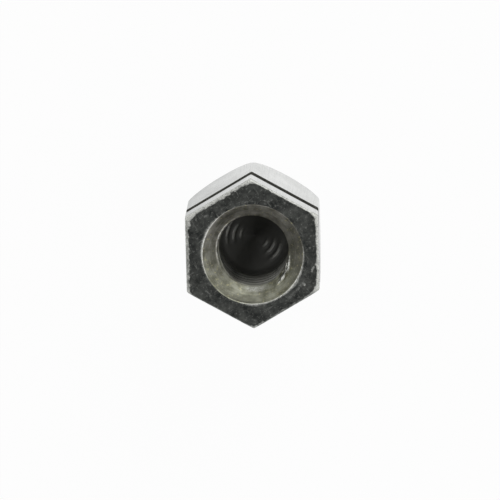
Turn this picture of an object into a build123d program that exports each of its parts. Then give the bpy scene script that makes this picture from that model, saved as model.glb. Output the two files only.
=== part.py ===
"""Domed nut, a one-piece hexagon nut with a closed crown.

Millimetres, +Z up. The nut stands on its crown with the open end up:
the origin is the middle of the small flat at the crown's tip, and +Z is
the thread axis, out of the mouth of the tapped hole.
"""

from build123d import *
import os
from math import asin, degrees, radians, tan

os.makedirs("parts", exist_ok=True)

# Hexagon, from the open face down to the crown
across_flats = 12.7
overall_height = 14.1
open_edge_radius = 0.18

# Crown: a small flat at its tip, a low dome, and a tighter knuckle that runs out on the flats
tip_flat_diameter = 2.6
dome_radius = 9.0
dome_reach_angle = 20.0
knuckle_radius = 6.5

# Groove that runs round the flats, measured from the open face
groove_from_face = 2.4
groove_width = 1.2
groove_depth = 0.3

# Blind tapped hole, at the size of its drill
tap_drill_diameter = 6.9
hole_depth = 7.2
drill_point_angle = 118.0
countersink_diameter = 9.7
countersink_angle = 82.0

# How far each cut runs past the surface that it opens
cut_overrun = 1.0

quarter_turn = 90.0
flat_distance = across_flats / 2
tip_radius = tip_flat_diameter / 2
tip_angle = degrees(asin(tip_radius / dome_radius))
tap_radius = tap_drill_diameter / 2
mouth_radius = countersink_diameter / 2
countersink_slope = tan(radians(countersink_angle / 2))
countersink_depth = (mouth_radius - tap_radius) / countersink_slope
drill_point_depth = tap_radius / tan(radians(drill_point_angle / 2))
shoulder_height = overall_height - hole_depth

with BuildPart() as nut:
    # Hexagon bar with its flats square to X and its corners on Y
    with BuildSketch(Plane.XY):
        RegularPolygon(radius=flat_distance, side_count=6, major_radius=False, rotation=30)
    extrude(amount=overall_height)

    # The turned crown trims the end of the bar and leaves an arc on each flat
    with BuildSketch(Plane.XZ):
        with BuildLine():
            tip = Line((0, 0), (tip_radius, 0))
            dome = JernArc(
                start=tip @ 1,
                tangent=Vector(1, 0).rotate(Axis.Z, tip_angle),
                radius=dome_radius,
                arc_size=dome_reach_angle - tip_angle,
            )
            knuckle = JernArc(
                start=dome @ 1,
                tangent=dome % 1,
                radius=knuckle_radius,
                arc_size=quarter_turn - dome_reach_angle,
            )
            side = Line(knuckle @ 1, ((knuckle @ 1).X, overall_height + cut_overrun))
            Polyline(side @ 1, (0, overall_height + cut_overrun), (0, 0))
        make_face()
    revolve(axis=Axis.Z, mode=Mode.INTERSECT)

    # Worn edge round the open face
    open_face = nut.faces().sort_by(Axis.Z)[-1]
    fillet(open_face.edges(), radius=open_edge_radius)

    # Narrow groove, square in section, that follows the hexagon
    with BuildSketch(Plane.XY.offset(overall_height - groove_from_face - groove_width)):
        RegularPolygon(
            radius=flat_distance + cut_overrun, side_count=6, major_radius=False, rotation=30
        )
        RegularPolygon(
            radius=flat_distance - groove_depth,
            side_count=6,
            major_radius=False,
            rotation=30,
            mode=Mode.SUBTRACT,
        )
    extrude(amount=groove_width, mode=Mode.SUBTRACT)

    # Hole in half section: drill point, wall, countersink
    with BuildSketch(Plane.XZ):
        with BuildLine():
            Polyline(
                (0, shoulder_height - drill_point_depth),
                (tap_radius, shoulder_height),
                (tap_radius, overall_height - countersink_depth),
                (mouth_radius + cut_overrun * countersink_slope, overall_height + cut_overrun),
                (0, overall_height + cut_overrun),
                close=True,
            )
        make_face()
    revolve(axis=Axis.Z, mode=Mode.SUBTRACT)

nut.part.label = "domed_nut"
export_step(nut.part, "parts/domed_nut.step")
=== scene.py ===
from math import asin, cos, hypot, pi, radians, sin, sqrt, tan

import bmesh
import bpy
from mathutils import Matrix, Vector, noise


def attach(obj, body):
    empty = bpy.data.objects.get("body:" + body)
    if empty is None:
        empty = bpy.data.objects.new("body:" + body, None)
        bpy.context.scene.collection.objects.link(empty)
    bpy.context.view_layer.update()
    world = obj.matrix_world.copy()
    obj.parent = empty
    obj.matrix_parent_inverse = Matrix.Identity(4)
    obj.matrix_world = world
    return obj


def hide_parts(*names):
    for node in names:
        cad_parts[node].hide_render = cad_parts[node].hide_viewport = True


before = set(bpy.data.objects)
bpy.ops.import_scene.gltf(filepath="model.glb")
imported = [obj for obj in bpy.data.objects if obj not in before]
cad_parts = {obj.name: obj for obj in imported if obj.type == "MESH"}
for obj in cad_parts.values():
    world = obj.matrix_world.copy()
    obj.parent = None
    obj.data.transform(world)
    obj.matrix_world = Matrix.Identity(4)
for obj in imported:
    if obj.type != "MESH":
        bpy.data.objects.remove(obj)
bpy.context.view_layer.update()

MM = 0.001
SIDES = 6
FULL_TURN = 2 * pi
SIXTH_TURN = pi / 3
TWELFTH_TURN = pi / 6

# Sizes of the nut in millimetres, from the crown's tip (z = 0) up to the open face
HEIGHT = 14.1
FLAT_DISTANCE = 6.35
TIP_RADIUS = 1.3
DOME_RADIUS = 9.0
DOME_REACH = radians(20)
KNUCKLE_RADIUS = 6.5
GROOVE_LOW = 10.5
GROOVE_HIGH = 11.7
GROOVE_DEPTH = 0.3
MOUTH_RADIUS = 4.85
CONE_SLOPE = tan(radians(41))
DRILL_RADIUS = 3.45
MAJOR_RADIUS = 3.969
PITCH = 1.058
HOLE_DEPTH = 7.2
PLAIN_WALL = 0.6
POINT_BEND = radians(59)
POINT_SLOPE = tan(POINT_BEND)

# The hole was drilled and tapped a little off the hexagon's middle, in X and Y
HOLE_OFFSET = (0.05, -0.045)

# Where the dome ends and the knuckle's arc is centred, as radius and height
DOME_CENTRE = sqrt(DOME_RADIUS**2 - TIP_RADIUS**2)
DOME_END = (DOME_RADIUS * sin(DOME_REACH), DOME_CENTRE - DOME_RADIUS * cos(DOME_REACH))
KNUCKLE_CENTRE = (
    DOME_END[0] - KNUCKLE_RADIUS * sin(DOME_REACH),
    DOME_END[1] + KNUCKLE_RADIUS * cos(DOME_REACH),
)
TURNED_RADIUS = KNUCKLE_CENTRE[0] + KNUCKLE_RADIUS

# Levels in the hole: the start of the drill's point, and the two ends of the thread
SHOULDER = HEIGHT - HOLE_DEPTH
THREAD_TOP = HEIGHT - (MOUTH_RADIUS - DRILL_RADIUS) / CONE_SLOPE
THREAD_FOOT = SHOULDER + PLAIN_WALL

# Places of the finishes in the nut's list of materials
PLATED, FACE, CONE, BORE, GROOVE, DRILLED = range(6)


def linear(code):
    """An sRGB hex colour as linear RGBA."""
    parts = [int(code[i : i + 2], 16) / 255 for i in (1, 3, 5)]
    return [c / 12.92 if c <= 0.04045 else ((c + 0.055) / 1.055) ** 2.4 for c in parts] + [1.0]


def wire(tree, node, sockets):
    """Sets the inputs of a node, each to a value or to a link from another node's output."""
    for name, value in sockets.items():
        if isinstance(value, bpy.types.NodeSocket):
            tree.links.new(value, node.inputs[name])
        else:
            node.inputs[name].default_value = value


def add(tree, kind, sockets=None, **settings):
    """One more node in a tree, with its settings, values and links."""
    made = tree.nodes.new(kind)
    for name, value in settings.items():
        setattr(made, name, value)
    wire(tree, made, sockets or {})
    return made


def clamp(value):
    """A share, held between 0 and 1."""
    return min(max(value, 0.0), 1.0)


def eased(a, b, k):
    """The smaller of two distances, with the corner between them rounded over k."""
    h = max(k - abs(a - b), 0.0)
    return min(a, b) - h * h / (4 * k)


def facing(angle, way):
    """1 towards a direction round the axis, given in degrees, and 0 from a quarter turn off it on."""
    return max(0.0, cos(angle - radians(way)))


def gathered(angle, swells, start=0.0):
    """A start and all swells round the axis, each with its direction in degrees, sharpness and height."""
    return sum((height * facing(angle, way) ** sharpness for way, sharpness, height in swells), start)


def round_noise(angle, waves, seed):
    """Unevenness round the axis, finer with more waves."""
    return noise.noise((waves * cos(angle), waves * sin(angle), seed))


def ragged(x, y, grains):
    """Raggedness at a point in millimetres, from grains with their size, weight and seed."""
    return sum(weight * noise.noise((x / size, y / size, seed)) for size, weight, seed in grains)


# Columns of the mesh, closer together towards the corners of the hexagon
PER_FLAT = 64
CROWDING = 0.6
angles = []
for flat in range(SIDES):
    for step in range(PER_FLAT):
        u = step / PER_FLAT
        angles.append(SIXTH_TURN * (flat + u - CROWDING * sin(FULL_TURN * u) / FULL_TURN) + TWELFTH_TURN)
COLUMNS = len(angles)


def off_flat(angle):
    """Angle from the middle of the nearest flat."""
    return (angle + TWELFTH_TURN) % SIXTH_TURN - TWELFTH_TURN


def hexagon(angle, distance):
    """Distance from the axis to a hexagon whose flats face X and every 60 degrees from it."""
    return distance / cos(off_flat(angle))


# How far two surfaces are rounded into one another, in millimetres: at the turned corners and at the knuckle
CORNER_EASING = 0.07
KNUCKLE_EASING = 0.12


def flats(angle):
    """The six flats with the corners that the turning eased."""
    return eased(hexagon(angle, FLAT_DISTANCE), TURNED_RADIUS, CORNER_EASING)


# Where a side's value starts to give way to its neighbour's, and over how much, in shares of a side
SIDE_HOLD = 0.44
SIDE_BLEND = 0.12


def by_side(angle, values):
    """One value for each flat, from +X round towards +Y, eased from one to the next at the corners."""
    turn = angle / SIXTH_TURN
    near = int(turn + 0.5)
    off = turn - near
    share = min(max((abs(off) - SIDE_HOLD) / SIDE_BLEND, 0.0), 0.5)
    other = near + 1 if off > 0 else near - 1
    return values[near % SIDES] * (1 - share) + values[other % SIDES] * share


# Wear along each side of the open face: radius of the edge, reach of the pale rubbing inwards, and its share
WORN_EDGE = (0.24, 0.18, 0.25, 0.26, 0.16, 0.17)
WORN_REACH = (0.06, 0.05, 0.10, 0.11, 0.00, 0.06)
WORN_SHARE = (0.95, 0.95, 0.95, 0.65, 0.2, 0.35)

# Extra wear of the edge at each corner, from 30 degrees on, and how far it reaches along the edge in radians
CORNER_WEAR = (0.9, 0.9, 1.3, 0.8, 0.8, 1.7)
CORNER_REACH = 0.16

# Unevenness of the worn edge as (waves, seed, weight): slow at first, then fine nicks
EDGE_UNEVEN = ((2.1, 4.0, 0.25), (17.0, 9.0, 0.35))


def corner_share(angle):
    """1 on a corner of the hexagon, falling to 0 about a millimetre to each side."""
    off = angle % SIXTH_TURN - TWELFTH_TURN
    return max(0.0, 1 - abs(off) / CORNER_REACH) ** 2


def edge_break(angle):
    """Radius of the worn edge round the open face, uneven and nicked by handling."""
    uneven = sum((weight * round_noise(angle, waves, seed) for waves, seed, weight in EDGE_UNEVEN), 1.0)
    extra = CORNER_WEAR[int(angle / SIXTH_TURN) % SIDES] * corner_share(angle)
    return by_side(angle, WORN_EDGE) * (uneven + extra)


# Rows of the outside: rings on the tip's flat, steps over the crown, up the flats and over the open edge
TIP_RINGS = (0.35, 0.9, 1.2, TIP_RADIUS)
DOME_STEPS = 7
KNUCKLE_STEPS = 10
FLAT_STEPS = 6
UPPER_FLAT_SHARES = (0.4, 0.8, 0.95)
EDGE_STEPS = 8

# Close rows where the knuckle runs out into a flat, in millimetres from the run-out
RUN_OUT_REACH = 0.25
RUN_OUT_ROWS = (-0.17, -0.1, -0.05, 0.0, 0.05, 0.1, 0.17, RUN_OUT_REACH)

# The knuckle's reach, kept just short of where its arc stands upright
KNUCKLE_LIMIT = KNUCKLE_RADIUS * 0.9999

# The groove: its lips as (in from the flat, out from the groove), its inner corners, and how far dirt crept
LIP_ROUNDING = ((0.0, 0.025), (0.005, 0.007), (0.02, 0.0))
GROOVE_CORNER = 0.04
DIRT_REACH = 0.14


def crown_rows(side):
    """Rows from the crown's tip, over the dome and knuckle and up a flat, to the dirt below the groove."""
    rows = [(r, 0.0) for r in TIP_RINGS]
    tip_angle = asin(TIP_RADIUS / DOME_RADIUS)
    for step in range(1, DOME_STEPS + 1):
        a = tip_angle + (DOME_REACH - tip_angle) * step / DOME_STEPS
        rows.append((DOME_RADIUS * sin(a), DOME_CENTRE - DOME_RADIUS * cos(a)))

    # The knuckle runs out into the flat at its own height on each column
    reach = min(side - KNUCKLE_CENTRE[0], KNUCKLE_LIMIT)
    run_out = KNUCKLE_CENTRE[1] - sqrt(KNUCKLE_RADIUS**2 - reach**2)
    climb = run_out - RUN_OUT_REACH - DOME_END[1]
    heights = [DOME_END[1] + climb * step / KNUCKLE_STEPS for step in range(1, KNUCKLE_STEPS + 1)]
    heights += [run_out + d for d in RUN_OUT_ROWS]
    climb = GROOVE_LOW - DIRT_REACH - run_out - RUN_OUT_REACH
    heights += [run_out + RUN_OUT_REACH + climb * step / FLAT_STEPS for step in range(1, FLAT_STEPS + 1)]
    for z in heights:
        drop = max(KNUCKLE_CENTRE[1] - z, 0.0)
        knuckle = KNUCKLE_CENTRE[0] + sqrt(max(KNUCKLE_RADIUS**2 - drop**2, 0.0))
        rows.append((eased(knuckle, side, KNUCKLE_EASING), z))
    return rows


def groove_rows(lip, floor):
    """Rows through the groove, with slightly rounded lips, to the dirt above it."""
    rows = [(lip - inset, GROOVE_LOW - past) for inset, past in LIP_ROUNDING]
    rows += [
        (floor + GROOVE_CORNER, GROOVE_LOW),
        (floor, GROOVE_LOW + GROOVE_CORNER),
        (floor, GROOVE_HIGH - GROOVE_CORNER),
        (floor + GROOVE_CORNER, GROOVE_HIGH),
    ]
    rows += [(lip - inset, GROOVE_HIGH + past) for inset, past in reversed(LIP_ROUNDING)]
    rows.append((lip, GROOVE_HIGH + DIRT_REACH))
    return rows


def edge_rows(lip, worn):
    """Rows up the short flat above the groove and over the worn edge."""
    foot = HEIGHT - worn
    start = GROOVE_HIGH + DIRT_REACH
    rows = [(lip, start + (foot - GROOVE_HIGH - DIRT_REACH) * share) for share in UPPER_FLAT_SHARES]
    for step in range(EDGE_STEPS + 1):
        a = pi / 2 * step / EDGE_STEPS
        rows.append((lip - worn * (1 - cos(a)), foot + worn * sin(a)))
    return rows


def outside_rows():
    """Columns of rows from the crown's tip over the open edge.

    Also gives the first and last row of the dirty groove.
    """
    columns = []
    for angle in angles:
        column = crown_rows(flats(angle))
        dirty_from = len(column) - 1
        lip = column[-1][0]
        column += groove_rows(lip, hexagon(angle, FLAT_DISTANCE - GROOVE_DEPTH))
        dirty_to = len(column) - 1
        column += edge_rows(lip, edge_break(angle))
        columns.append(column)
    return columns, (dirty_from, dirty_to)


# The lip of the hole as the tap left it, rolled inwards at the left and the lower right and wider at the top
LIP_ROLLS = ((198, 6, -0.13), (334, 5, -0.1), (108, 6, 0.09))


def lip_radius(angle):
    """Radius where the countersink ends."""
    return gathered(angle, LIP_ROLLS, DRILL_RADIUS)


def lip_height(angle):
    """Height where the countersink ends."""
    return HEIGHT - (MOUTH_RADIUS - lip_radius(angle)) / CONE_SLOPE


# Burrs: their height in millimetres, the most of it that they reach, their grains, and their rise at the lip
BURR_HEIGHT = 0.07
BURR_LIMIT = 1.8
BURR_GRAINS = ((0.3, 1.0, 5.0), (0.13, 0.8, 2.0))
BURR_START = 0.04

# Burr on the lip at the left: its direction in degrees, and the cosine at which it ends to either side
LIP_BURR_WAY = 160
LIP_BURR_END = 0.5

# The lip burr's middle out from the lip and half its width in millimetres, and how ragged it is
LIP_BURR_MIDDLE = 0.11
LIP_BURR_HALF = 0.13
LIP_BURR_RAG = 0.5

# Strand torn up at the thread's start: where it begins, its length, its radius and how that grows along it
STRAND_START = radians(-4)
STRAND_LENGTH = radians(56)
STRAND_RADIUS = 3.49
STRAND_GROWTH = (0.09, 0.31)

# Half the strand's width at its ends and what its middle adds, its strength, and how fast it tapers
STRAND_END_HALF = 0.07
STRAND_SWELL = 0.74
STRAND_STRENGTH = 2.1
STRAND_TAPER = 3

# Splinters of the strand: their number along it, width in millimetres, seed and depth, and its own raggedness
SPLINTERS_ALONG = 6
SPLINTER_WIDTH = 0.11
SPLINTER_SEED = 5.0
SPLINTER_RAG = 2.0
STRAND_RAG = 0.7


def lip_burr(r, angle, rag):
    """Burr along the lip at the left."""
    left = max(0.0, cos(angle - radians(LIP_BURR_WAY)) - LIP_BURR_END) / (1 - LIP_BURR_END)
    across = max(0.0, 1 - abs(r - lip_radius(angle) - LIP_BURR_MIDDLE) / LIP_BURR_HALF)
    return left * across * (1 + LIP_BURR_RAG * rag)


def torn_strand(r, angle, rag):
    """Strand that the tap tore up where its thread starts, splintered lengthwise."""
    turn = (STRAND_START - (angle if angle < pi else angle - FULL_TURN)) / STRAND_LENGTH
    if not 0 < turn < 1:
        return 0.0
    off = r - STRAND_RADIUS - STRAND_GROWTH[0] * turn - STRAND_GROWTH[1] * turn**2
    splinters = noise.noise((SPLINTERS_ALONG * turn, off / SPLINTER_WIDTH, SPLINTER_SEED))
    across = max(0.0, 1 - abs(off) / (STRAND_END_HALF + STRAND_SWELL * turn * (1 - turn)))
    along = min(1.0, STRAND_TAPER * turn, STRAND_TAPER * (1 - turn))
    return across * (STRAND_STRENGTH * along * (1 + SPLINTER_RAG * splinters + STRAND_RAG * rag))


def burr(r, angle):
    """Height of the burrs that the tap raised on the countersink, in units of the burr's height."""
    rag = ragged(r * cos(angle), r * sin(angle), BURR_GRAINS)
    start = min(1.0, (r - lip_radius(angle)) / BURR_START)
    return start * max(lip_burr(r, angle, rag), torn_strand(r, angle, rag), 0.0)


# Rows across the open face in shares of the way to the mouth, the row in the rim's bend, and rows of the cone
FACE_SHARES = (0.035, 0.07, 0.11, 0.15, 0.2, 0.26, 0.33, 0.42, 0.54, 0.68, 0.84, 1.0)
RIM_BEND = (0.2, 0.25)
CONE_STEPS = 34

# Half the width of the mouth's worn rim, where it is wider, and its unevenness with its waves and seed
RIM_HALF = 0.016
RIM_SWELLS = ((163, 4, 0.034), (-35, 4, 0.034))
RIM_UNEVEN = 0.012
RIM_WAVES = 9.0
RIM_SEED = 2.0


def rim_width(angle):
    """Half the width of the mouth's worn rim: widest on the left and at the lower right."""
    return gathered(angle, RIM_SWELLS, RIM_HALF) + RIM_UNEVEN * round_noise(angle, RIM_WAVES, RIM_SEED)


def face_rows(columns):
    """Rows across the flat open face, over the worn rim of the mouth and down the countersink."""
    for angle, column in zip(angles, columns):
        edge = column[-1][0]
        rim = rim_width(angle)
        for share in FACE_SHARES:
            column.append((edge + (MOUTH_RADIUS + rim - edge) * share, HEIGHT))
        column.append((MOUTH_RADIUS + RIM_BEND[0] * rim, HEIGHT - RIM_BEND[1] * rim))
        cone_depth = HEIGHT - lip_height(angle)
        for step in range(CONE_STEPS):
            depth = rim + (cone_depth - rim) * step / (CONE_STEPS - 1)
            r = MOUTH_RADIUS - depth * CONE_SLOPE
            column.append((r, HEIGHT - depth + BURR_HEIGHT * min(burr(r, angle), BURR_LIMIT)))


# One turn of the thread as (share of the pitch, share of the depth cut), from the crest
TURN_SHARES = (
    (0.00, 0.05), (0.03, 0.00), (0.08, 0.00), (0.13, 0.00), (0.18, 0.00), (0.22, 0.00),
    (0.25, 0.05), (0.29, 0.15), (0.34, 0.30), (0.39, 0.46), (0.44, 0.62), (0.49, 0.78),
    (0.54, 0.94), (0.5625, 1.00), (0.6875, 1.00), (0.71, 0.94), (0.76, 0.78), (0.81, 0.62),
    (0.86, 0.46), (0.92, 0.27),
)
THREAD_START = 0.30
SPARE_TURNS = 2

# How the cut fades at the thread's foot and top: millimetres left plain, and millimetres that the fade takes
FOOT_FADE = (0.1, 0.5)
TOP_FADE = (0.15, 0.6)

# How deep the rolled lip reaches, and the first crest that was pushed inwards at the left
ROLL_DEPTH = 0.6
PUSHED_CREST = ((190, 6, 0.25),)
PUSHED_DEPTH = 1.0


def thread_columns():
    """The right-hand thread as rows that climb with it, fading in under the countersink and out below."""
    first = int((THREAD_FOOT - PITCH * THREAD_START) / PITCH) - SPARE_TURNS
    last = int((THREAD_TOP - PITCH * THREAD_START) / PITCH) + SPARE_TURNS
    columns = []
    for angle in angles:
        turn = ((angle - angles[0]) / FULL_TURN) % 1.0
        roll = DRILL_RADIUS - lip_radius(angle)
        lip = lip_height(angle)
        pushed = gathered(angle, PUSHED_CREST)
        column = []
        for k in range(first, last):
            for share, cut in TURN_SHARES:
                z = PITCH * (k + share + turn + THREAD_START)
                z = min(max(z, THREAD_FOOT), lip)
                whole = clamp((z - THREAD_FOOT - FOOT_FADE[0]) / FOOT_FADE[1])
                whole *= clamp((THREAD_TOP - TOP_FADE[0] - z) / TOP_FADE[1])
                r = DRILL_RADIUS + (MAJOR_RADIUS - DRILL_RADIUS) * cut * whole
                r -= roll * max(0.0, 1 - (lip - z) / ROLL_DEPTH)
                r -= pushed * sin(pi * min((lip - z) / PUSHED_DEPTH, 1.0))
                cone = MOUTH_RADIUS - (HEIGHT - z) * CONE_SLOPE
                column.append((max(r, cone), z))
        columns.append(column)
    return columns


# The drilled end in millimetres: the bend at the foot of its wall, and the rows of the bend and the point
FOOT_RADIUS = 1.0
FOOT_STEPS = 8
POINT_STEPS = 44

# The drill's chatter: its two directions in degrees, how closely it keeps to them, its height and spacing
CHATTER_WAYS = (164, -34)
CHATTER_SHARPNESS = 12
CHATTER_HEIGHT = 0.06
CHATTER_SPACING = 0.66

# Radius of the first crest on each side, and from there the middle, half width and fall of the chatter's band
LEFT_CREST = 0.77
RIGHT_CREST = 0.57
CHATTER_MIDDLE = 1.45
CHATTER_HALF = 1.15
CHATTER_FALL = 0.4


def chatter(r, angle):
    """The drill's chatter on two sides of its point, from -1 in a hollow to 1 on a crest."""
    side = max(facing(angle, way) for way in CHATTER_WAYS) ** CHATTER_SHARPNESS
    off = r - (LEFT_CREST if cos(angle) < 0 else RIGHT_CREST)
    band = max(0.0, 1 - abs(off - CHATTER_MIDDLE) / CHATTER_HALF) ** CHATTER_FALL
    return side * cos(FULL_TURN * off / CHATTER_SPACING) * band


def bottom_rows(angle):
    """Rows of the drilled end: a short plain wall and the point, with the drill's chatter on two sides."""
    rows = [(DRILL_RADIUS, THREAD_FOOT)]
    top = SHOULDER + FOOT_RADIUS * tan(POINT_BEND / 2)
    for step in range(FOOT_STEPS + 1):
        a = POINT_BEND * step / FOOT_STEPS
        rows.append((DRILL_RADIUS - FOOT_RADIUS * (1 - cos(a)), top - FOOT_RADIUS * sin(a)))
    start = rows[-1][0]
    for step in range(1, POINT_STEPS):
        r = start * (1 - step / POINT_STEPS)
        rows.append((r, SHOULDER - (DRILL_RADIUS - r) / POINT_SLOPE + CHATTER_HEIGHT * chatter(r, angle)))
    return rows


# Pale marks on the open face in millimetres: from one end to the other, half the width, and strength
NICKS = (
    ((5.6, -1.8), (5.85, -1.3), 0.12, 1.5),
    ((6.0, -1.15), (6.05, -1.0), 0.12, 1.4),
    ((5.5, 0.5), (5.5, 0.6), 0.14, 1.3),
    ((4.88, -2.75), (4.92, -3.1), 0.14, 1.2),
    ((3.4, -4.35), (4.9, -2.75), 0.5, 0.5),
    ((-5.45, 0.35), (-5.15, 0.75), 0.06, 0.8),
    ((1.2, 4.85), (2.0, 5.3), 0.35, 0.45),
    ((2.0, 4.5), (2.7, 4.8), 0.3, 0.4),
    ((-0.9, 5.1), (0.4, 5.2), 0.25, 0.4),
    ((-4.9, 3.6), (-4.1, 3.9), 0.3, 0.5),
    ((-4.6, -3.5), (-3.9, -3.9), 0.15, 0.6),
    ((1.3, -5.2), (1.5, -5.75), 0.09, 0.5),
    ((1.5, -6.05), (1.8, -6.15), 0.1, 0.9),
)


def to_nick(x, y):
    """How deep a point lies in the nearest pale mark, from 1 on its line to 0 at its side."""
    best = 0.0
    for (x0, y0), (x1, y1), half, strength in NICKS:
        dx, dy = x1 - x0, y1 - y0
        t = clamp(((x - x0) * dx + (y - y0) * dy) / (dx * dx + dy * dy))
        best = max(best, strength * (1 - hypot(x - x0 - t * dx, y - y0 - t * dy) / half))
    return best


# Painted light and shade on the countersink: direction in degrees, sharpness, middle radius, half width,
# strength (painted shade < 0)
CONE_PATCHES = (
    (274, 16, 3.62, 0.55, 0.95),
    (50, 10, 4.25, 0.6, 0.55),
    (118, 16, 4.35, 0.45, -0.7),
)

# Painted shade on the low side of the countersink, darker towards the mouth: direction, sharpness, inner
# radius, rise, and strength
MOUTH_SHADE_WAY = 255
MOUTH_SHADE_SHARPNESS = 9
MOUTH_SHADE_RADIUS = 3.75
MOUTH_SHADE_RISE = 1.5
MOUTH_SHADE_STRENGTH = 0.85

# Painted shade on the wall of the hole, at its lower left
WALL_SHADE = ((236, 60, 0.6),)


def cone_light_and_shade(r, angle):
    """Painted shade (below 0) on the countersink's low side and upper left, and painted light in patches
    (above 0).
    """
    total = 0.0
    for way, sharpness, middle, half, strength in CONE_PATCHES:
        total += strength * (facing(angle, way) ** sharpness * max(0.0, 1 - abs(r - middle) / half))
    outwards = max(0.0, r - MOUTH_SHADE_RADIUS) ** MOUTH_SHADE_RISE
    return total - MOUTH_SHADE_STRENGTH * (facing(angle, MOUTH_SHADE_WAY) ** MOUTH_SHADE_SHARPNESS * outwards)


def shaded_wall(angle):
    """Painted shade on the wall of the hole, from 0 to 1."""
    return gathered(angle, WALL_SHADE)


# Grains that break up the wear, and how much they and the corners change it along the worn edge
WEAR_GRAINS = ((0.4, 1.0, 5.0), (0.16, 0.6, 8.0))
EDGE_RAG = 0.5
CORNER_RUB = 0.4

# Wear on the flat face in millimetres: how it fades, how ragged it is, and where the lowest corner is rubbed
RUB_FADE = 0.1
REACH_RAG = 1.3
LEAST_REACH = 0.01
LOW_CORNER = 7.0
LOW_CORNER_RAG = 0.15

# Pale rim of the mouth: a little wear everywhere, painted highlights at the left, the lower right and the
# bottom, and how ragged it is
RIM_WEAR = 0.1
RIM_HIGHLIGHTS = ((163, 4, 0.9), (-35, 4, 0.9), (272, 14, 0.7))
RIM_RAG = 0.4

# How close to the level of the open face a point has to be to lie on it, in millimetres
LEVEL = 0.001


def rubbed(r, z, angle, edge):
    """Wear and painted light at a point of the open end, from 1 where it is rubbed to bright steel or a
    highlight is painted, to -1 where shade is painted.
    """
    x, y = r * cos(angle), r * sin(angle)
    rag = ragged(x, y, WEAR_GRAINS)
    rim = rim_width(angle)
    if r > edge:
        return clamp(by_side(angle, WORN_SHARE) * (1 + EDGE_RAG * rag) + CORNER_RUB * corner_share(angle))
    if z > HEIGHT - LEVEL and r > MOUTH_RADIUS + 2 * rim:
        inwards = (edge - r) * cos(off_flat(angle))
        reach = by_side(angle, WORN_REACH)
        side = (reach * (1 + REACH_RAG * rag) - inwards) / RUB_FADE if reach > LEAST_REACH else 0.0
        low = (r * max(0.0, -sin(angle)) - LOW_CORNER + LOW_CORNER_RAG * rag) / RUB_FADE
        return clamp(max(side, low, to_nick(x, y)))
    # The mouth's rim: a little wear, with painted highlights at the left, the lower right and the bottom
    if r > MOUTH_RADIUS - rim:
        return clamp(gathered(angle, RIM_HIGHLIGHTS, RIM_WEAR) + RIM_RAG * rag)
    # On the countersink: pale burrs, and painted light and shade
    return min(burr(r, angle) + cone_light_and_shade(r, angle), 1.0)


# Points closer than the first merge, and slivers thinner than the second go, in metres
MERGE = 2e-6
SLIVER = 1e-7

# The sharpest bend that is shaded smooth
SHARP_BEND = radians(38)

# How close to the countersink a point of the thread has to lie to share its finish, in millimetres
ON_CONE = 0.002

# How strongly a highlight is painted on the chatter's crests
CHATTER_GLEAM = 1.8


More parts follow.
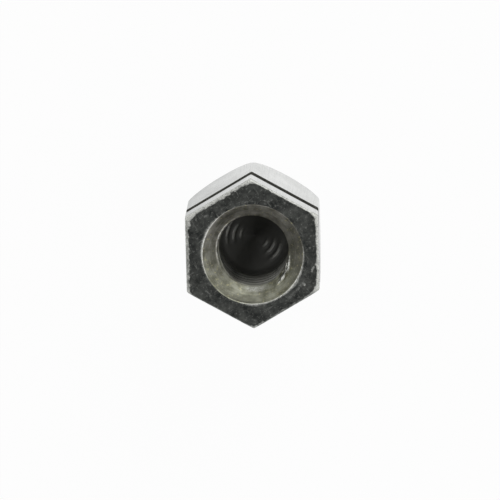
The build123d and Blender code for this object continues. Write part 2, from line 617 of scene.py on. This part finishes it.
def make_nut():
    """The nut as one closed mesh: outside, open face, countersink, thread and drilled end."""
    mesh = bmesh.new()
    # The bare attribute holds wear and painted light above 0, and painted shade below 0
    bare = mesh.verts.layers.float.new("bare")

    def place(r, z, angle, wear=0.0, drawn=1.0):
        """A point with its wear or painted light and shade, drawn from the hexagon's middle (0) over to the
        hole's (1).
        """
        x = r * cos(angle) + HOLE_OFFSET[0] * drawn
        y = r * sin(angle) + HOLE_OFFSET[1] * drawn
        vert = mesh.verts.new((x * MM, y * MM, z * MM))
        vert[bare] = wear
        return vert

    def join(verts, finish):
        """A face between points, in one of the finishes."""
        quad = mesh.faces.new(verts)
        quad.material_index = finish
        quad.smooth = True

    columns, dirty = outside_rows()
    plated_rows = len(columns[0]) - EDGE_STEPS
    face_rows(columns)
    face_end = plated_rows + EDGE_STEPS + len(FACE_SHARES)
    grid = []
    for angle, column in zip(angles, columns):
        # The outside keeps to the hexagon's middle, the mouth to the hole's, and the face lies between them
        edge = column[plated_rows + EDGE_STEPS - 1][0]
        grid.append([place(r, z, angle, drawn=0.0) for r, z in column[:plated_rows]])
        for r, z in column[plated_rows:]:
            drawn = clamp((edge - r) / (edge - MOUTH_RADIUS - rim_width(angle)))
            grid[-1].append(place(r, z, angle, rubbed(r, z, angle, edge), drawn))
    tip = mesh.verts.new((0, 0, 0))
    for i in range(COLUMNS):
        here, there = grid[i], grid[(i + 1) % COLUMNS]
        join((tip, there[0], here[0]), PLATED)
        for j in range(len(here) - 1):
            finish = PLATED if j < plated_rows - 1 else FACE if j < face_end - 1 else CONE
            if dirty[0] <= j < dirty[1]:
                finish = GROOVE
            join((here[j], there[j], there[j + 1], here[j + 1]), finish)

    # The thread's last column meets its first one turn up
    columns = thread_columns()
    # Painted shade on the wall of the hole at its lower left, carried as a negative wear
    grid = [[place(r, z, a, -shaded_wall(a)) for r, z in column] for a, column in zip(angles, columns)]
    rows = len(columns[0])
    for i in range(COLUMNS):
        shift = len(TURN_SHARES) if i == COLUMNS - 1 else 0
        here, there = grid[i], grid[(i + 1) % COLUMNS]
        for j in range(rows - 1 - shift):
            r, z = columns[i][j]
            on_cone = abs(r - MOUTH_RADIUS + (HEIGHT - z) * CONE_SLOPE) < ON_CONE
            quad = (here[j + 1], there[j + 1 + shift], there[j + shift], here[j])
            join(quad, CONE if on_cone else BORE)

    # Painted highlight on the chatter's crests, carried as wear
    grid = [[place(r, z, a, CHATTER_GLEAM * chatter(r, a)) for r, z in bottom_rows(a)] for a in angles]
    pit = place(0.0, SHOULDER - DRILL_RADIUS / POINT_SLOPE, 0.0)
    for i in range(COLUMNS):
        here, there = grid[i], grid[(i + 1) % COLUMNS]
        for j in range(len(here) - 1):
            join((here[j], there[j], there[j + 1], here[j + 1]), DRILLED)
        join((here[-1], there[-1], pit), DRILLED)

    bmesh.ops.remove_doubles(mesh, verts=mesh.verts, dist=MERGE)
    bmesh.ops.dissolve_degenerate(mesh, edges=mesh.edges, dist=SLIVER)
    bmesh.ops.recalc_face_normals(mesh, faces=mesh.faces)
    data = bpy.data.meshes.new("domed_nut_dressed")
    mesh.to_mesh(data)
    mesh.free()
    data.set_sharp_from_angle(angle=SHARP_BEND)
    nut = bpy.data.objects.new("domed_nut_dressed", data)
    bpy.context.scene.collection.objects.link(nut)
    return nut


# Sockets of a mix node by their places: its factor, the two colours, the two numbers, and what comes out
FACTOR = 0
COLOUR_A, COLOUR_B, COLOUR_OUT = 6, 7, 2
NUMBER_A, NUMBER_B, NUMBER_OUT = 2, 3, 0


def new_material(name, metallic):
    """A new material with its node tree and its shader, as a metal (1) or not (0)."""
    material = bpy.data.materials.new(name)
    material.use_nodes = True
    shader = material.node_tree.nodes["Principled BSDF"]
    shader.inputs["Metallic"].default_value = metallic
    return material, material.node_tree, shader


def set_tones(ramp, stops):
    """Gives a colour ramp its stops, each with its place from 0 to 1 and its colour."""
    for element, (position, code) in zip(ramp.elements, (stops[0], stops[-1])):
        element.position = position
        element.color = linear(code)
    for position, code in stops[1:-1]:
        ramp.elements.new(position).color = linear(code)


def millimetres(tree):
    """Places on the nut, counted in millimetres."""
    place = add(tree, "ShaderNodeTexCoord")
    scaled = add(
        tree,
        "ShaderNodeVectorMath",
        {0: place.outputs["Object"], "Scale": 1 / MM},
        operation="SCALE",
    )
    return scaled.outputs["Vector"]


def wear_and_painted_light_share(tree, at, size):
    """Where the steel is rubbed bare or painted light lies on it, broken up at the given size in millimetres.
    """
    wear = add(tree, "ShaderNodeAttribute", attribute_name="bare")
    chips = add(tree, "ShaderNodeTexNoise", {"Vector": at, "Scale": 1 / size, "Detail": 3.0})
    both = add(
        tree,
        "ShaderNodeMath",
        {0: wear.outputs["Fac"], 1: chips.outputs["Fac"]},
        operation="MULTIPLY",
    )
    share = add(
        tree,
        "ShaderNodeMapRange",
        {"Value": both.outputs[0], "From Min": 0.15, "From Max": 0.55},
    )
    return share.outputs["Result"]


def painted_shade_share(tree):
    """Where shade is painted on the steel."""
    wear = add(tree, "ShaderNodeAttribute", attribute_name="bare")
    share = add(
        tree,
        "ShaderNodeMapRange",
        {"Value": wear.outputs["Fac"], "From Min": 0.0, "From Max": -1.0},
    )
    return share.outputs["Result"]


def scratches(tree, at):
    """Thin pale scratches that cross at a slant, each a millimetre or two long."""
    width = 0.2
    stretch = 6.0
    strands = []
    for slant in (35.0, -60.0):
        along = add(
            tree,
            "ShaderNodeMapping",
            {"Vector": at, "Rotation": (0.0, 0.0, radians(slant)), "Scale": (stretch, 1.0, 1.0)},
            vector_type="TEXTURE",
        )
        grain = add(
            tree,
            "ShaderNodeTexNoise",
            {"Vector": along.outputs["Vector"], "Scale": 1 / width, "Detail": 2.0},
        )
        line = add(
            tree,
            "ShaderNodeMapRange",
            {"Value": grain.outputs["Fac"], "From Min": 0.66, "From Max": 0.8, "To Max": 0.6},
        )
        strands.append(line.outputs["Result"])
    both = add(tree, "ShaderNodeMath", {0: strands[0], 1: strands[1]}, operation="MAXIMUM")
    return both.outputs[0]


def bright_plated_steel():
    """Thin bright plating over cold-drawn steel: a clear but soft mirror, faintly clouded, with drawn marks.

    The marks of real drawing are finer; these are drawn as coarse as they need to be to show.
    """
    cloud_size = 2.6
    mark_width = 0.13
    mark_stretch = 0.03
    grain_size = 0.25
    material, tree, steel = new_material("bright_plated_steel", 1.0)
    at = millimetres(tree)
    cloud = add(
        tree,
        "ShaderNodeTexNoise",
        {"Vector": at, "Scale": 1 / cloud_size, "Detail": 3.0, "Roughness": 0.5},
    )
    patch = add(
        tree,
        "ShaderNodeMapRange",
        {"Value": cloud.outputs["Fac"], "From Min": 0.25, "From Max": 0.75, "To Min": 0.4, "To Max": 0.6},
    )
    place = add(tree, "ShaderNodeSeparateXYZ", {0: at})
    # Painted shade: the plating is made darker towards -X, so the left flats look darker
    side = add(
        tree,
        "ShaderNodeMapRange",
        {"Value": place.outputs["X"], "From Min": -6.5, "From Max": 0.0, "To Min": -0.26, "To Max": 0.07},
    )
    dull = add(
        tree,
        "ShaderNodeMath",
        {0: patch.outputs["Result"], 1: side.outputs["Result"]},
        operation="ADD",
    )
    tone = add(tree, "ShaderNodeValToRGB", {"Fac": dull.outputs[0]})
    set_tones(tone.color_ramp, ((0.26, "#b0b2b0"), (0.66, "#e8e9e7")))

    drawn = add(tree, "ShaderNodeMapping", {"Vector": at, "Scale": (1.0, 1.0, mark_stretch)})
    streak = add(
        tree,
        "ShaderNodeTexNoise",
        {"Vector": drawn.outputs["Vector"], "Scale": 1 / mark_width, "Detail": 3.0, "Roughness": 0.6},
    )
    lines = add(
        tree,
        "ShaderNodeMapRange",
        {"Value": streak.outputs["Fac"], "From Min": 0.5, "From Max": 0.75, "To Max": 0.4},
    )
    marked = add(
        tree,
        "ShaderNodeMix",
        {FACTOR: lines.outputs["Result"], COLOUR_A: tone.outputs["Color"], COLOUR_B: linear("#a0a2a0")},
        data_type="RGBA",
    )

    grain = add(tree, "ShaderNodeTexNoise", {"Vector": at, "Scale": 1 / grain_size, "Detail": 6.0})
    rough = add(
        tree,
        "ShaderNodeMapRange",
        {"Value": grain.outputs["Fac"], "To Min": 0.12, "To Max": 0.3},
    )
    bump = add(
        tree,
        "ShaderNodeBump",
        {"Height": grain.outputs["Fac"], "Strength": 0.05, "Distance": 0.02 * MM},
    )
    wire(
        tree,
        steel,
        {
            "Base Color": marked.outputs[COLOUR_OUT],
            "Roughness": rough.outputs["Result"],
            "Normal": bump.outputs["Normal"],
        },
    )
    return material


def scuffed_bearing_face():
    """Bare steel face rubbed dull and dark in use: mottled, with pale scuffs, specks and rubbed edges."""
    mottle_size = 1.1
    speck_size = 0.3
    chip_size = 0.12
    material, tree, steel = new_material("scuffed_bearing_face", 1.0)
    at = millimetres(tree)
    mottle = add(
        tree,
        "ShaderNodeTexNoise",
        {"Vector": at, "Scale": 1 / mottle_size, "Detail": 7.0, "Roughness": 0.8},
    )
    tone = add(tree, "ShaderNodeValToRGB", {"Fac": mottle.outputs["Fac"]})
    set_tones(tone.color_ramp, ((0.38, "#464947"), (0.68, "#7a7c78")))

    speck = add(
        tree,
        "ShaderNodeTexNoise",
        {"Vector": at, "Scale": 1 / speck_size, "Detail": 4.0, "Roughness": 0.75},
    )
    pale = add(
        tree,
        "ShaderNodeMapRange",
        {"Value": speck.outputs["Fac"], "From Min": 0.56, "From Max": 0.74},
    )
    marks = add(
        tree,
        "ShaderNodeMath",
        {0: pale.outputs["Result"], 1: scratches(tree, at)},
        operation="MAXIMUM",
    )
    scuff = add(
        tree,
        "ShaderNodeMix",
        {FACTOR: marks.outputs[0], COLOUR_A: tone.outputs["Color"], COLOUR_B: linear("#babbb6")},
        data_type="RGBA",
    )
    # Pale where the steel is rubbed, and a painted highlight along the mouth's rim
    share = wear_and_painted_light_share(tree, at, chip_size)
    rub = add(
        tree,
        "ShaderNodeMix",
        {FACTOR: share, COLOUR_A: scuff.outputs[COLOUR_OUT], COLOUR_B: linear("#d8d9d4")},
        data_type="RGBA",
    )

    rough = add(
        tree,
        "ShaderNodeMapRange",
        {"Value": mottle.outputs["Fac"], "To Min": 0.3, "To Max": 0.5},
    )
    worn = add(
        tree,
        "ShaderNodeMix",
        {FACTOR: share, NUMBER_A: rough.outputs["Result"], NUMBER_B: 0.6},
        data_type="FLOAT",
    )
    bump = add(
        tree,
        "ShaderNodeBump",
        {"Height": speck.outputs["Fac"], "Strength": 0.5, "Distance": 0.03 * MM},
    )
    wire(
        tree,
        steel,
        {
            "Base Color": rub.outputs[COLOUR_OUT],
            "Roughness": worn.outputs[NUMBER_OUT],
            "Normal": bump.outputs["Normal"],
        },
    )
    return material


def turned_countersink():
    """Countersink cut in bare steel under old oil: olive grey, speckled, faintly ringed by the tool."""
    stain_size = 0.9
    speck_size = 0.22
    ring_spacing = 0.12
    chip_size = 0.15
    material, tree, steel = new_material("turned_countersink", 1.0)
    at = millimetres(tree)
    stain = add(
        tree,
        "ShaderNodeTexNoise",
        {"Vector": at, "Scale": 1 / stain_size, "Detail": 4.0, "Roughness": 0.55},
    )
    tone = add(tree, "ShaderNodeValToRGB", {"Fac": stain.outputs["Fac"]})
    set_tones(tone.color_ramp, ((0.32, "#7e7e74"), (0.68, "#c2c3bd")))

    # Oil is yellower on the low side; the steel at the right is darkened as painted shade
    place = add(tree, "ShaderNodeSeparateXYZ", {0: at})
    low = add(
        tree,
        "ShaderNodeMapRange",
        {"Value": place.outputs["Y"], "From Min": 1.5, "From Max": -3.0},
    )
    oil = add(
        tree,
        "ShaderNodeMix",
        {FACTOR: low.outputs["Result"], COLOUR_A: linear("#f6f2f2"), COLOUR_B: linear("#f8f8ea")},
        data_type="RGBA",
    )
    tint = add(
        tree,
        "ShaderNodeMix",
        {FACTOR: 1.0, COLOUR_A: tone.outputs["Color"], COLOUR_B: oil.outputs[COLOUR_OUT]},
        data_type="RGBA",
        blend_type="MULTIPLY",
    )
    # Painted shade: darker towards the right of the countersink
    side = add(
        tree,
        "ShaderNodeMapRange",
        {"Value": place.outputs["X"], "From Min": 3.2, "From Max": 4.1, "To Max": 0.5},
    )
    tint = add(
        tree,
        "ShaderNodeMix",
        {FACTOR: side.outputs["Result"], COLOUR_A: tint.outputs[COLOUR_OUT], COLOUR_B: linear("#6f6f67")},
        data_type="RGBA",
    )

    # Rings that the tool cut, round the hexagon's middle
    level = add(tree, "ShaderNodeVectorMath", {0: at, 1: (1.0, 1.0, 0.0)}, operation="MULTIPLY")
    out = add(tree, "ShaderNodeVectorMath", {0: level.outputs["Vector"]}, operation="LENGTH")
    rings = add(
        tree,
        "ShaderNodeTexNoise",
        {"W": out.outputs["Value"], "Scale": 1 / ring_spacing, "Detail": 2.0},
        noise_dimensions="1D",
    )
    depth = add(
        tree,
        "ShaderNodeMapRange",
        {"Value": rings.outputs["Fac"], "From Min": 0.35, "From Max": 0.65, "To Min": 0.84, "To Max": 1.0},
    )
    ringed = add(
        tree,
        "ShaderNodeVectorMath",
        {0: tint.outputs[COLOUR_OUT], "Scale": depth.outputs["Result"]},
        operation="SCALE",
    )

    speck = add(tree, "ShaderNodeTexNoise", {"Vector": at, "Scale": 1 / speck_size, "Detail": 3.0})
    pale = add(
        tree,
        "ShaderNodeMapRange",
        {"Value": speck.outputs["Fac"], "From Min": 0.6, "From Max": 0.72},
    )
    specked = add(
        tree,
        "ShaderNodeMix",
        {FACTOR: pale.outputs["Result"], COLOUR_A: ringed.outputs["Vector"], COLOUR_B: linear("#c9c5a0")},
        data_type="RGBA",
    )
    # Painted shade on the countersink's upper left and towards the mouth at the bottom
    dirty = add(
        tree,
        "ShaderNodeMix",
        {FACTOR: painted_shade_share(tree), COLOUR_A: specked.outputs[COLOUR_OUT], COLOUR_B: linear("#3a3a34")},
        data_type="RGBA",
    )
    # Pale where the steel is rubbed or burred, painted light in patches, and a painted highlight on the rim
    share = wear_and_painted_light_share(tree, at, chip_size)
    rub = add(
        tree,
        "ShaderNodeMix",
        {FACTOR: share, COLOUR_A: dirty.outputs[COLOUR_OUT], COLOUR_B: linear("#dfe0db")},
        data_type="RGBA",
    )

    worn = add(
        tree,
        "ShaderNodeMix",
        {FACTOR: share, NUMBER_A: 0.42, NUMBER_B: 0.38},
        data_type="FLOAT",
    )
    bump = add(
        tree,
        "ShaderNodeBump",
        {"Height": speck.outputs["Fac"], "Strength": 0.3, "Distance": 0.02 * MM},
    )
    wire(
        tree,
        steel,
        {
            "Base Color": rub.outputs[COLOUR_OUT],
            "Roughness": worn.outputs[NUMBER_OUT],
            "Normal": bump.outputs["Normal"],
        },
    )
    return material


def tapped_bore():
    """Tapped steel wall, faintly stained, with painted light paler at the foot, at the top and towards the
    right, and painted shade at the lower left.
    """
    stain_size = 0.5
    material, tree, steel = new_material("tapped_bore", 1.0)
    at = millimetres(tree)
    place = add(tree, "ShaderNodeSeparateXYZ", {0: at})
    # Painted light: the wall is paler at its foot, where its corner lies in shade, and much paler towards the
    # top
    level = add(
        tree,
        "ShaderNodeMapRange",
        {"Value": place.outputs["Z"], "From Min": THREAD_FOOT, "From Max": THREAD_TOP},
    )
    tone = add(tree, "ShaderNodeValToRGB", {"Fac": level.outputs["Result"]})
    set_tones(tone.color_ramp, ((0.0, "#b0b0aa"), (0.35, "#74746e"), (0.7, "#80807a"), (1.0, "#e2e2d4")))
    # Painted light: paler towards the right
    right = add(
        tree,
        "ShaderNodeMapRange",
        {"Value": place.outputs["X"], "From Min": -1.6, "From Max": 2.4},
    )
    lit_right = add(
        tree,
        "ShaderNodeMix",
        {FACTOR: right.outputs["Result"], COLOUR_A: tone.outputs["Color"], COLOUR_B: linear("#bcbcb6")},
        data_type="RGBA",
    )
    # Painted shade at the lower left of the wall
    shaded_lower_left = add(
        tree,
        "ShaderNodeMix",
        {FACTOR: painted_shade_share(tree), COLOUR_A: lit_right.outputs[COLOUR_OUT], COLOUR_B: linear("#4c4c46")},
        data_type="RGBA",
    )

    stain = add(tree, "ShaderNodeTexNoise", {"Vector": at, "Scale": 1 / stain_size, "Detail": 4.0})
    shade = add(
        tree,
        "ShaderNodeMix",
        {FACTOR: stain.outputs["Fac"], COLOUR_A: linear("#d0d0d0"), COLOUR_B: linear("#ffffff")},
        data_type="RGBA",
    )
    stained = add(
        tree,
        "ShaderNodeMix",
        {FACTOR: 1.0, COLOUR_A: shade.outputs[COLOUR_OUT], COLOUR_B: shaded_lower_left.outputs[COLOUR_OUT]},
        data_type="RGBA",
        blend_type="MULTIPLY",
    )
    wire(tree, steel, {"Base Color": stained.outputs[COLOUR_OUT], "Roughness": 0.66})
    return material


def drilled_end():
    """Drilled end of the hole, dull under oil: dark grey, painted paler up towards the foot of its wall as
    painted light, with a painted highlight on the chatter's crests.
    """
    chip_size = 0.3
    fade = 0.75
    material, tree, steel = new_material("drilled_end", 1.0)
    at = millimetres(tree)
    place = add(tree, "ShaderNodeSeparateXYZ", {0: at})
    # Painted light: paler up towards the foot of the wall, where its corner lies in shade
    foot = add(
        tree,
        "ShaderNodeMapRange",
        {"Value": place.outputs["Z"], "From Min": THREAD_FOOT - fade, "From Max": THREAD_FOOT},
    )
    tone = add(
        tree,
        "ShaderNodeMix",
        {FACTOR: foot.outputs["Result"], COLOUR_A: linear("#7a7a77"), COLOUR_B: linear("#b0b0ac")},
        data_type="RGBA",
    )
    # Painted highlight on the chatter's crests
    rub = add(
        tree,
        "ShaderNodeMix",
        {
            FACTOR: wear_and_painted_light_share(tree, at, chip_size),
            COLOUR_A: tone.outputs[COLOUR_OUT],
            COLOUR_B: linear("#cdcdc9"),
        },
        data_type="RGBA",
    )
    wire(tree, steel, {"Base Color": rub.outputs[COLOUR_OUT], "Roughness": 0.66})
    return material


def grimy_groove():
    """Old oil and dirt packed in the groove: nearly black and dull, a sharp dark line round the flats."""
    patch_size = 0.8
    material, tree, dirt = new_material("grimy_groove", 0.0)
    at = millimetres(tree)
    patch = add(tree, "ShaderNodeTexNoise", {"Vector": at, "Scale": 1 / patch_size, "Detail": 4.0})
    tone = add(
        tree,
        "ShaderNodeMix",
        {FACTOR: patch.outputs["Fac"], COLOUR_A: linear("#31312e"), COLOUR_B: linear("#5c5b55")},
        data_type="RGBA",
    )
    wire(tree, dirt, {"Base Color": tone.outputs[COLOUR_OUT], "Roughness": 0.8, "Specular IOR Level": 0.2})
    return material


# The table top: its radius in metres, and how much of plain white the eye and the metal see in it
TABLE_RADIUS = 0.8
TABLE_SIDES = 96
SEEN_WHITE = 0.94
MIRRORED_WHITE = 0.7


def white_table():
    """Matt white paint: white to the eye and in the metal, with some of its own shading for the shadow."""
    material, tree, paint = new_material("white_table", 0.0)
    wire(tree, paint, {"Base Color": linear("#f7f7f7"), "Roughness": 0.9, "Specular IOR Level": 0.0})
    ray = add(tree, "ShaderNodeLightPath")
    looked_at = add(
        tree,
        "ShaderNodeMath",
        {0: ray.outputs["Is Camera Ray"], 1: ray.outputs["Is Transmission Ray"]},
        operation="MAXIMUM",
    )
    seen = add(tree, "ShaderNodeMath", {0: looked_at.outputs[0], 1: SEEN_WHITE}, operation="MULTIPLY")
    mirrored = add(
        tree,
        "ShaderNodeMath",
        {0: ray.outputs["Is Glossy Ray"], 1: MIRRORED_WHITE},
        operation="MULTIPLY",
    )
    part = add(
        tree,
        "ShaderNodeMath",
        {0: seen.outputs[0], 1: mirrored.outputs[0]},
        operation="MAXIMUM",
    )
    white = add(tree, "ShaderNodeEmission", {"Strength": 1.0})
    mixed = add(
        tree,
        "ShaderNodeMixShader",
        {0: part.outputs[0], 1: paint.outputs[0], 2: white.outputs[0]},
    )
    wire(tree, tree.nodes["Material Output"], {"Surface": mixed.outputs[0]})
    return material


def make_floor():
    """A plain white table top, far wider than the nut."""
    mesh = bmesh.new()
    bmesh.ops.create_circle(mesh, cap_ends=True, segments=TABLE_SIDES, radius=TABLE_RADIUS)
    data = bpy.data.meshes.new("table_top")
    mesh.to_mesh(data)
    mesh.free()
    floor = bpy.data.objects.new("table_top", data)
    bpy.context.scene.collection.objects.link(floor)
    data.materials.append(white_table())


# Lamps as name, place and width in metres, and power in watts
LAMPS = (
    ("window_side", (0.25, 0.55, 0.3), 0.4, 0.9),
    ("lamp_right", (0.247, -0.115, 0.55), 0.14, 0.25),
    ("lamp_left", (-0.236, 0.136, 0.55), 0.14, 0.25),
)


def light_studio():
    """Soft light from all round the table, most from the right, little from above where the camera stands."""
    world = bpy.data.worlds.new("studio")
    world.use_nodes = True
    bpy.context.scene.world = world
    tree = world.node_tree
    towards = add(tree, "ShaderNodeTexCoord")
    part = add(tree, "ShaderNodeSeparateXYZ", {0: towards.outputs["Generated"]})

    # Height above the horizon as a sine: dark within about 35 degrees of straight up
    level = add(
        tree,
        "ShaderNodeMapRange",
        {"Value": part.outputs["Z"], "From Min": 0.6, "From Max": 0.86, "To Min": 1.0, "To Max": 0.08},
        interpolation_type="SMOOTHSTEP",
    )
    tilt = add(
        tree,
        "ShaderNodeMapRange",
        {"Value": part.outputs["X"], "From Min": -1.0, "To Min": 0.84, "To Max": 1.16},
    )
    soft = add(
        tree,
        "ShaderNodeMath",
        {0: level.outputs["Result"], 1: tilt.outputs["Result"]},
        operation="MULTIPLY",
    )
    ray = add(tree, "ShaderNodeLightPath")
    shown = add(
        tree,
        "ShaderNodeMix",
        {FACTOR: ray.outputs["Is Camera Ray"], NUMBER_A: soft.outputs[0], NUMBER_B: 1.0},
        data_type="FLOAT",
    )
    wire(tree, tree.nodes["Background"], {"Color": linear("#ffffff"), "Strength": shown.outputs[NUMBER_OUT]})

    for name, spot, width, power in LAMPS:
        lamp = bpy.data.lights.new(name, "AREA")
        lamp.shape = "DISK"
        lamp.size = width
        lamp.energy = power
        holder = bpy.data.objects.new(name, lamp)
        holder.location = spot
        aim = Vector((0, 0, HEIGHT * MM)) - Vector(spot)
        holder.rotation_euler = aim.to_track_quat("-Z", "Y").to_euler()
        bpy.context.scene.collection.objects.link(holder)


# The photograph: 500 px square, the nut seen 12 degrees off its axis with a slight roll
FRAME_PIXELS = 500
VIEW_TILT = radians(12.0)
VIEW_TURN = radians(8.1)
VIEW_ROLL = radians(1.2)
VIEW_DISTANCE = 0.5
PIXELS_PER_MM = 10.473
FACE_PIXEL = (252.15, 254.2)
SENSOR_WIDTH = 36.0
CLIP_START = 0.01
CLIP_END = 20.0


def place_camera():
    """The camera above the open face, leaning towards +Y."""
    right = Vector((cos(VIEW_ROLL), -sin(VIEW_ROLL), 0))
    up = Vector((sin(VIEW_ROLL), cos(VIEW_ROLL), 0))
    lean = right * sin(VIEW_TURN) + up * cos(VIEW_TURN)
    across = right * cos(VIEW_TURN) - up * sin(VIEW_TURN)
    axis = Vector((0, 0, 1))
    back = lean * sin(VIEW_TILT) + axis * cos(VIEW_TILT)
    lean = lean * cos(VIEW_TILT) - axis * sin(VIEW_TILT)
    right = across * cos(VIEW_TURN) + lean * sin(VIEW_TURN)
    up = lean * cos(VIEW_TURN) - across * sin(VIEW_TURN)
    middle = FRAME_PIXELS / 2
    shift = right * (FACE_PIXEL[0] - middle) - up * (FACE_PIXEL[1] - middle)
    spot = axis * (HEIGHT * MM) + back * VIEW_DISTANCE - shift * (MM / PIXELS_PER_MM)

    lens = bpy.data.cameras.new("camera")
    lens.sensor_width = SENSOR_WIDTH
    lens.lens = SENSOR_WIDTH * VIEW_DISTANCE / (FRAME_PIXELS / PIXELS_PER_MM * MM)
    lens.clip_start = CLIP_START
    lens.clip_end = CLIP_END
    camera = bpy.data.objects.new("camera", lens)
    camera.matrix_world = Matrix.Translation(spot) @ Matrix((right, up, back)).transposed().to_4x4()
    bpy.context.scene.collection.objects.link(camera)
    bpy.context.scene.camera = camera


# The finishes in the order of their places above
FINISHES = (
    bright_plated_steel,
    scuffed_bearing_face,
    turned_countersink,
    tapped_bore,
    grimy_groove,
    drilled_end,
)

nut = make_nut()
for finish in FINISHES:
    nut.data.materials.append(finish())
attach(nut, "root")
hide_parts("domed_nut")

make_floor()
light_studio()
place_camera()
bpy.context.scene.view_settings.view_transform = "Standard"
